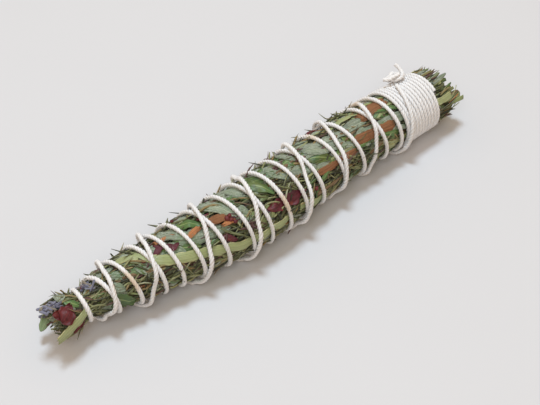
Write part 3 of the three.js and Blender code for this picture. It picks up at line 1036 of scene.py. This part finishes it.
def add_flakes(pieces, rng, x, turn, out, heading, slope, length, width, thick, blunt=0.3):
    """Adds small flat bits of leaf or straw."""
    rings = 7
    line = lines_on_bundle(rng, x, turn, out, heading, slope, length, rings, 0.2)
    share = np.linspace(0, 1, rings)
    outline = np.maximum(np.sin(np.pi * share) ** 0.6, blunt)
    wide = width[:, None] / 2 * outline
    roll, tone = rng.normal(0, 0.35, len(x)), rng.random(len(x))
    add_strips(pieces, line, FLAKE, wide, np.full_like(wide, thick), roll, tone)


def scattered(rng, count, low, high, margin=0.3 * MM):
    """Places on the bundle's surface that no large leaf covers and the collar doesn't bind."""
    x = rng.uniform(low, high, count)
    turn = rng.uniform(-180, 180, count)
    bound = (x > COLLAR_X[0] - 2 * MM) & (x < COLLAR_X[1] + 2 * MM)
    keep = ~is_covered(x, turn, margin) & ~bound
    return x[keep], turn[keep]


def scraps(seed, name, material, slot, count, lengths, widths, thick, depth, spread, blunt=0.3):
    """Loose bits of one sort, scattered in the surface of the bundle."""
    rng = np.random.default_rng(seed)
    pieces = Pieces()
    x, turn = scattered(rng, count, -106 * MM, 103 * MM)
    out = swell(x, turn) - rng.uniform(*depth, x.size) * MM
    length = rng.uniform(*lengths, x.size) * MM
    width = rng.uniform(*widths, x.size) * MM
    heading, slope = rng.normal(0, spread, x.size), rng.normal(0, 0.05, x.size)
    add_flakes(pieces, rng, x, turn, out, heading, slope, length, width, thick * MM, blunt)
    return show(name, pieces, material, slot)


def end_leaves(seed, name, material, slot, xs, count, lengths, widths, blunt):
    """Leaf ends that fan out of the bundle's tip or stand in its butt."""
    rng = np.random.default_rng(seed)
    pieces = Pieces()
    turn = rng.uniform(-180, 180, count)
    x = trimmed(rng.uniform(*xs, count) * MM, turn)
    out = -herb_radius(x) * 0.85 * (1 - np.sqrt(rng.random(count))) - 0.3 * MM
    slope = np.sign(x) * rng.uniform(-0.02, 0.12, count)
    length = rng.uniform(*lengths, count) * MM
    width = rng.uniform(*widths, count) * MM
    heading = rng.normal(0, 5 if xs[0] > 0 else 18, count)
    add_flakes(pieces, rng, x, turn, out, heading, slope, length, width, 0.3 * MM, blunt)
    return show(name, pieces, material, slot)


BUD = np.array([(np.cos(a), np.sin(a)) for a in np.linspace(0, 2 * np.pi, 6, endpoint=False)])
BUDS = 34


def lavender_pieces(index, node, material):
    """A flower head: ribbed buds set closely along the line of the frame's head."""
    rng = np.random.default_rng([16, index])
    pieces = Pieces()
    patch = PATCHES[node]
    a = rng.uniform(patch.low, patch.high, BUDS)
    b = rng.normal(0, 0.5, BUDS) * patch.half * 1.1
    x, turn = patch.at(a, b)
    out = swell(x, turn) + rng.uniform(-0.9, 0.5, BUDS) * MM
    heading = 180 + np.degrees(np.arctan2(patch.axis[1], patch.axis[0])) + rng.normal(0, 38, BUDS)
    length = rng.uniform(2.6, 4.4, BUDS) * MM
    line = lines_on_bundle(rng, x, turn, out, heading, rng.uniform(0, 0.5, BUDS), length, 7, 0.4)
    profile = np.array([0.3, 0.8, 1.0, 0.95, 0.85, 1.15, 0.7])
    wide = rng.uniform(0.4, 0.65, (BUDS, 1)) * MM * profile
    add_strips(pieces, line, BUD, wide, wide * 0.85, 0.0, rng.random(BUDS))
    return show(f"lavender_{index + 1}", pieces, material, "lavender", node)


BERRIES = [
    (-30, 63), (-28.4, 66), (-28.8, 58), (-27.6, 52), (-46, 128), (-92, 112), (14, 20), (48, 150), (-6, 300),
]


def berry_piece(material):
    """Small wrinkled red berries, each on a bit of stalk."""
    rng = np.random.default_rng(17)
    pieces = Pieces()
    x, turn = np.array(BERRIES, float).T
    x = x * MM
    count, rings = len(x), 9
    length = rng.uniform(1.7, 2.5, count) * MM
    top, level = swell(x, turn), np.zeros(count)
    line = lines_on_bundle(rng, x, turn, top + 0.3 * MM, rng.uniform(-60, 60, count), level, length, rings)
    profile = np.sin(np.pi * np.linspace(0.03, 0.97, rings)) ** 0.6
    wide = length[:, None] * 0.45 * profile * rng.uniform(0.88, 1.1, (count, rings))
    add_strips(pieces, line, ROUND, wide, wide, 0.0, rng.uniform(0, 0.5, count))
    line = lines_on_bundle(rng, x + 1.6 * MM, turn, top, rng.uniform(-40, 40, count), level, length * 1.6, 4)
    thin = np.full((count, 4), 0.2 * MM)
    add_strips(pieces, line, BUD, thin, thin, 0.0, 1.0)
    return show("berries", pieces, material, "petal")


# ---- string ----

PLIES = 3
TWIST_PITCH = 5 * MM
PLY_POINTS = 5
STRING_LAY, STRING_OVER = 1.35 * MM, 2.0 * MM


def twisted(line, radius, out, rng, groove=0.24):
    """The points of a twisted string round a centre line, one ring for each of its points."""
    run = np.gradient(line, axis=0)
    run /= np.linalg.norm(run, axis=-1, keepdims=True)
    out = out - run * np.sum(out * run, axis=-1, keepdims=True)
    out /= np.linalg.norm(out, axis=-1, keepdims=True)
    side = np.cross(run, out)
    along = np.concatenate([[0], np.cumsum(np.linalg.norm(np.diff(line, axis=0), axis=1))])
    sides = PLIES * PLY_POINTS
    angle = np.linspace(0, 2 * np.pi, sides, endpoint=False)[None]
    lobes = 1 - groove * (1 - np.abs(np.cos(PLIES / 2 * angle)))
    slub = 1 + 0.05 * ripples(rng, along, 0 * along, 8, 3 * MM, 40 * MM)[:, None]
    turned = angle + 2 * np.pi * along[:, None] / TWIST_PITCH
    reach = radius * slub * lobes
    up, aside = reach * np.cos(turned), reach * np.sin(turned)
    points = line[:, None] + out[:, None] * up[..., None] + side[:, None] * aside[..., None]
    # How deep each point lies in the groove between plies, which the cotton shader paints as shade.
    depth = np.broadcast_to((1 - lobes) / groove, reach.shape)
    return points, along, np.broadcast_to(angle, reach.shape), depth


def add_string(pieces, rng, line, radius, out):
    points, along, angle, depth = twisted(line, radius, out, rng)
    rings, sides, _ = points.shape
    # The groove depth goes in as tone, which the cotton shader turns into painted shade.
    pieces.add(
        points,
        tube_faces(1, rings, sides),
        tone=depth.ravel(),
        along=np.repeat(along, sides),
        across=angle.ravel(),
    )


def string_stretch(start, end, step):
    """Centre points of the string between two counts of turns, about evenly spaced."""
    counts = np.linspace(start, end, int((end - start) * 85 * MM / step) + 2)
    line = string_line(counts, STRING_LAY, STRING_OVER)[0] + SHIFT
    line[:, 2] = np.maximum(line[:, 2], 0.85 * MM)
    return line


def add_fuzz(pieces, rng, line, radius, count):
    """Fine cotton fibres that stand off the string."""
    at = rng.integers(2, len(line) - 3, count)
    run = line[at + 2] - line[at - 2]
    run /= np.linalg.norm(run, axis=1, keepdims=True)
    way = rng.normal(0, 1, (count, 3))
    way -= run * np.sum(way * run, axis=1, keepdims=True)
    way /= np.linalg.norm(way, axis=1, keepdims=True)
    length = rng.uniform(0.8, 2.6, (count, 1, 1)) * MM
    share = np.linspace(0, 1, 4)[None, :, None]
    lean = rng.uniform(-1.2, 1.2, (count, 1, 1))
    fibre = line[at][:, None] + way[:, None] * (radius * 0.9 + share * length * 0.45)
    fibre = fibre + run[:, None] * lean * share * length + rng.normal(0, 0.08 * MM, (count, 4, 3)) * share
    thin = np.broadcast_to(0.035 * MM * np.array([1, 0.9, 0.8, 0.4]), (count, 4))
    add_strips(pieces, fibre, BUD[::2], thin, thin, 0.0, 0.2)


def string_pieces(settings, material):
    rng = np.random.default_rng(18)
    radius = settings.string_diameter / 2
    fuzz = Pieces()
    for name, start, end, step, size in (
        ("string_collar", -COLLAR_TURNS, 0, 0.62 * MM, radius * 0.97),
        ("string_wrap", 0, END_TURN, 0.68 * MM, radius),
    ):
        pieces = Pieces()
        line = string_stretch(start, end, step)
        add_string(pieces, rng, line, size, outward(line))
        add_fuzz(fuzz, rng, line, size, 1500)
        show(name, pieces, material, "string", "binding_string")
    return show("string_fibres", fuzz, material, "string")


KNOT_X, KNOT_TURN, KNOT_LOOP, KNOT_RISE, KNOT_OPEN = 83.4 * MM, 122, 1.08 * MM, 1.15 * MM, 0.3
KNOT_FIRST = [(-6.6, -0.6, 1.6), (-4.4, -2.2, 0.9), (-2.2, -2.9, 1.1)]
KNOT_SECOND = [(2.3, -2.8, -0.8), (4.1, -1.6, 0.2), (4.6, 0.2, 2.4), (4.0, 1.4, 4.6)]


def knot_route():
    """The middle of the knotted string, in the knot's own east, north and up."""
    t = np.linspace(np.pi + KNOT_OPEN, 3 * np.pi - KNOT_OPEN, 19)
    loops = np.stack(
        [
            KNOT_LOOP * (np.sin(t) + 2 * np.sin(2 * t)),
            KNOT_LOOP * (np.cos(t) - 2 * np.cos(2 * t)),
            -KNOT_RISE * np.sin(3 * t),
        ],
        -1,
    )
    return np.concatenate([np.array(KNOT_FIRST) * MM, loops, np.array(KNOT_SECOND) * MM])


def smoothed(points, count):
    """A curve of many points through a few."""
    along = np.concatenate([[0], np.cumsum(np.linalg.norm(np.diff(points, axis=0), axis=1))])
    at = np.linspace(0, along[-1], count)
    return np.stack([through(np.stack([along, points[:, k]], -1))(at) for k in range(3)], -1)


def knot_piece(material):
    rng = np.random.default_rng(19)
    pieces = Pieces()
    low, high = (np.array(corner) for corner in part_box("string_knot"))
    bed = 1.65 * MM + 0.95 * MM + 0.3 * MM + 0.6 * MM + KNOT_RISE
    origin = on_bundle(KNOT_X, KNOT_TURN, bed)
    up = on_bundle(KNOT_X, KNOT_TURN, bed + MM) - origin
    up /= np.linalg.norm(up)
    east = np.array([1.0, 0, 0])
    north = np.cross(up, east)
    north /= np.linalg.norm(north)
    x, y, z = smoothed(knot_route(), 150).T
    line = x[:, None] * east + y[:, None] * north + z[:, None] * up
    line += (low + high) / 2 - (line.min(axis=0) + line.max(axis=0)) / 2
    add_string(pieces, rng, line, 0.95 * MM, np.broadcast_to(up, line.shape))
    add_fuzz(pieces, rng, line, 0.7 * MM, 120)
    return show("knot", pieces, material, "string", "string_knot")


# ---- stage ----


def make_stage(context):
    settings = settings_of(context)
    size = 8
    mesh = bpy.data.meshes.new("floor")
    corners = [(-size, -size, 0), (size, -size, 0), (size, size, 0), (-size, size, 0)]
    mesh.from_pydata(corners, [], [(0, 1, 2, 3)])
    mesh.materials.append(floor_material(settings))
    floor = bpy.data.objects.new("floor", mesh)
    context.collection.objects.link(floor)

    def area_light(name, place_at, width, power, colour):
        light = bpy.data.lights.new(name, "AREA")
        light.shape, light.size = "DISK", width
        light.energy, light.color = power, colour
        lamp = bpy.data.objects.new(name, light)
        lamp.location = place_at
        lamp.rotation_euler = (-Vector(place_at)).to_track_quat("-Z", "Y").to_euler()
        context.collection.objects.link(lamp)

    area_light("key", (0.08, 0.22, 1.22), 0.3, settings.key_power, (0.7, 0.86, 1.0))
    area_light("fill", (-0.6, -0.6, 1.0), 0.7, settings.fill_power, (0.8, 0.91, 1.0))
    world = bpy.data.worlds.new("studio")
    world.use_nodes = True
    world.node_tree.nodes["Background"].inputs["Color"].default_value = (1.0, 0.74, 0.48, 1.0)
    world.node_tree.nodes["Background"].inputs["Strength"].default_value = settings.world_light
    context.scene.world = world
    context.scene.view_settings.view_transform = "Standard"

    camera = bpy.data.cameras.new("camera")
    camera.lens, camera.sensor_width = settings.lens, 36
    view = bpy.data.objects.new("camera", camera)
    turn, rise = settings.azimuth, settings.elevation
    way = Vector((np.sin(turn) * np.cos(rise), -np.cos(turn) * np.cos(rise), np.sin(rise)))
    view.location = Vector(settings.aim) + way * settings.distance
    view.rotation_euler = (-way).to_track_quat("-Z", "Y").to_euler()
    context.collection.objects.link(view)
    context.scene.camera = view


# ---- settings, operators and panel ----


def colour_property(name, default):
    return FloatVectorProperty(
        name=name, description=name, subtype="COLOR", size=4, default=default, min=0, max=1
    )


def number_property(name, default, unit="NONE"):
    return FloatProperty(name=name, description=name, default=default, unit=unit, precision=5)


def length_property(name, default):
    return number_property(name, default, "LENGTH")


class HerbBundleSettings(PropertyGroup):
    """What a user would change about the bundle and its stage."""

    needle_length: length_property("Mean length of a rosemary needle", 8.4 * MM)
    needle_width: length_property("Width of a rosemary needle", 0.92 * MM)
    string_diameter: length_property("Diameter of the cotton string", 1.98 * MM)
    needles_above: IntProperty(name="Upper needles", description="Upper needles of each sprig", default=800)
    needles_below: IntProperty(name="Lower needles", description="Lower needles of each sprig", default=330)
    needle_colour: colour_property("Colour of the needles", rgb(110, 114, 74))
    stem_colour: colour_property("Colour of the stems", rgb(136, 112, 80))
    sage_colour: colour_property("Colour of the sage leaves", rgb(150, 160, 136))
    bay_colour: colour_property("Colour of the green leaves", rgb(84, 114, 64))
    grass_colour: colour_property("Colour of the lemongrass", rgb(166, 174, 122))
    petal_colour: colour_property("Colour of the petals", rgb(108, 27, 25))
    bark_colour: colour_property("Colour of the bark", rgb(198, 130, 82))
    lavender_colour: colour_property("Colour of the lavender", rgb(114, 114, 134))
    string_colour: colour_property("Colour of the string", rgb(242, 240, 240))
    floor_colour: colour_property("Colour of the floor", rgb(204, 203, 205))
    key_power: number_property("Power of the key light", 11.6, "POWER")
    fill_power: number_property("Power of the fill light", 5.4, "POWER")
    world_light: number_property("Strength of the ambient light", 0.58)
    distance: length_property("Distance from the camera to its aim", 520 * MM)
    azimuth: number_property("Camera's turn round the bundle", np.radians(-40.73), "ROTATION")
    elevation: number_property("Camera's angle above the floor", np.radians(45), "ROTATION")
    lens: number_property("Focal length in millimetres", 81.76)
    aim: FloatVectorProperty(
        name="Aim",
        description="Where the camera looks",
        default=(-0.9 * MM, -0.7 * MM, 12 * MM),
        unit="LENGTH",
    )


class HERBS_OT_rosemary(Operator):
    """Make the rosemary sprigs"""

    bl_idname = "herbs.rosemary"
    bl_label = "Rosemary sprigs"

    def execute(self, context):
        settings = settings_of(context)
        material = needle_material(settings)
        for index in range(len(nodes_named("rosemary_sprig"))):
            sprig_pieces(settings, index, material)
        return {"FINISHED"}


class HERBS_OT_stems(Operator):
    """Make the woody stems"""

    bl_idname = "herbs.stems"
    bl_label = "Woody stems"

    def execute(self, context):
        material = stem_material(settings_of(context))
        for index in range(len(nodes_named("woody_stem"))):
            stem_pieces(index, material)
        twig_piece(material)
        return {"FINISHED"}


class HERBS_OT_sage(Operator):
    """Make the sage leaves, and the scraps of sage between them"""

    bl_idname = "herbs.sage"
    bl_label = "Sage leaves"

    def execute(self, context):
        material = sage_material(settings_of(context))
        leaf_pieces(21, "sage_leaf", "sage", SAGE, material, "sage", 34, 21)
        scraps(31, "sage_scraps", material, "sage", 260, (4, 9), (1.6, 3.4), 0.25, (0.1, 0.9), 30)
        end_leaves(41, "sage_ends", material, "sage", (-106, -101), 26, (5, 9), (2, 3.8), 0.35)
        end_leaves(42, "sage_stalks", material, "sage", (99, 103), 26, (12, 16), (1.2, 2.8), 0.9)
        return {"FINISHED"}


class HERBS_OT_bay(Operator):
    """Make the green leaves, and the scraps of them between the others"""

    bl_idname = "herbs.bay"
    bl_label = "Green leaves"

    def execute(self, context):
        material = bay_material(settings_of(context))
        leaf_pieces(22, "bay_leaf", "bay", BAY, material, "bay", 34, 17)
        scraps(32, "bay_scraps", material, "bay", 240, (4, 10), (1.4, 3.0), 0.22, (0.1, 1.0), 30)
        end_leaves(43, "bay_ends", material, "bay", (-105, -100), 18, (6, 9), (2.4, 4.0), 0.3)
        end_leaves(44, "bay_stalks", material, "bay", (99, 103), 28, (12, 16), (1.0, 2.4), 0.9)
        return {"FINISHED"}


class HERBS_OT_grass(Operator):
    """Make the lemongrass blades and the straw"""

    bl_idname = "herbs.grass"
    bl_label = "Lemongrass"

    def execute(self, context):
        material = grass_material(settings_of(context))
        leaf_pieces(23, "grass_blade", "lemongrass", GRASS, material, "grass", 30, 25)
        scraps(33, "straw", material, "grass", 150, (5, 14), (0.6, 1.3), 0.2, (-0.1, 0.9), 22, 0.7)
        end_leaves(45, "grass_ends", material, "grass", (99, 104), 52, (12, 15), (1.1, 3.0), 1.0)
        return {"FINISHED"}


class HERBS_OT_bark(Operator):
    """Make the strips of bark"""

    bl_idname = "herbs.bark"
    bl_label = "Bark"

    def execute(self, context):
        material = bark_material(settings_of(context))
        leaf_pieces(24, "bark_strip", "bark", BARK, material, "bark", 40, 29)
        scraps(34, "bark_scraps", material, "bark", 70, (3, 8), (0.7, 1.8), 0.3, (-0.1, 0.7), 20, 0.8)
        return {"FINISHED"}


class HERBS_OT_petals(Operator):
    """Make the petals and berries"""

    bl_idname = "herbs.petals"
    bl_label = "Petals and berries"

    def execute(self, context):
        material = petal_material(settings_of(context))
        leaf_pieces(25, "petal", "petal", PETAL, material, "petal", 30, 17)
        scraps(35, "petal_scraps", material, "petal", 80, (2.5, 6), (0.8, 2.0), 0.2, (-0.1, 0.7), 40)
        berry_piece(material)
        return {"FINISHED"}


class HERBS_OT_lavender(Operator):
    """Make the lavender flower heads"""

    bl_idname = "herbs.lavender"
    bl_label = "Lavender"

    def execute(self, context):
        material = lavender_material(settings_of(context))
        for index, node in enumerate(nodes_named("lavender_head")):
            lavender_pieces(index, node, material)
        return {"FINISHED"}


class HERBS_OT_string(Operator):
    """Wind the string and tie its knot"""

    bl_idname = "herbs.string"
    bl_label = "String and knot"

    def execute(self, context):
        settings = settings_of(context)
        material = cotton_material(settings)
        string_pieces(settings, material)
        knot_piece(material)
        return {"FINISHED"}


class HERBS_OT_stage(Operator):
    """Set the floor, the lights and the camera"""

    bl_idname = "herbs.stage"
    bl_label = "Stage"

    def execute(self, context):
        make_stage(context)
        return {"FINISHED"}


OPERATORS = (
    HERBS_OT_stage,
    HERBS_OT_rosemary,
    HERBS_OT_stems,
    HERBS_OT_sage,
    HERBS_OT_bay,
    HERBS_OT_grass,
    HERBS_OT_bark,
    HERBS_OT_petals,
    HERBS_OT_lavender,
    HERBS_OT_string,
)


class HERBS_PT_bundle(Panel):
    """The steps that make the bundle"""

    bl_idname = "HERBS_PT_bundle"
    bl_label = "Herb bundle"
    bl_space_type = "VIEW_3D"
    bl_region_type = "UI"
    bl_category = "Herb bundle"

    def draw(self, context):
        for name in HerbBundleSettings.__annotations__:
            self.layout.prop(settings_of(context), name)
        for operator in OPERATORS:
            self.layout.operator(operator.bl_idname)


CLASSES = (HerbBundleSettings, *OPERATORS, HERBS_PT_bundle)


def register():
    for cls in CLASSES:
        bpy.utils.register_class(cls)
    bpy.types.Scene.herb_bundle = PointerProperty(type=HerbBundleSettings)


def unregister():
    del bpy.types.Scene.herb_bundle
    for cls in reversed(CLASSES):
        bpy.utils.unregister_class(cls)


def main():
    register()
    for operator in OPERATORS:
        getattr(bpy.ops.herbs, operator.bl_idname.split(".")[1])()


if __name__ == "__main__":
    main()
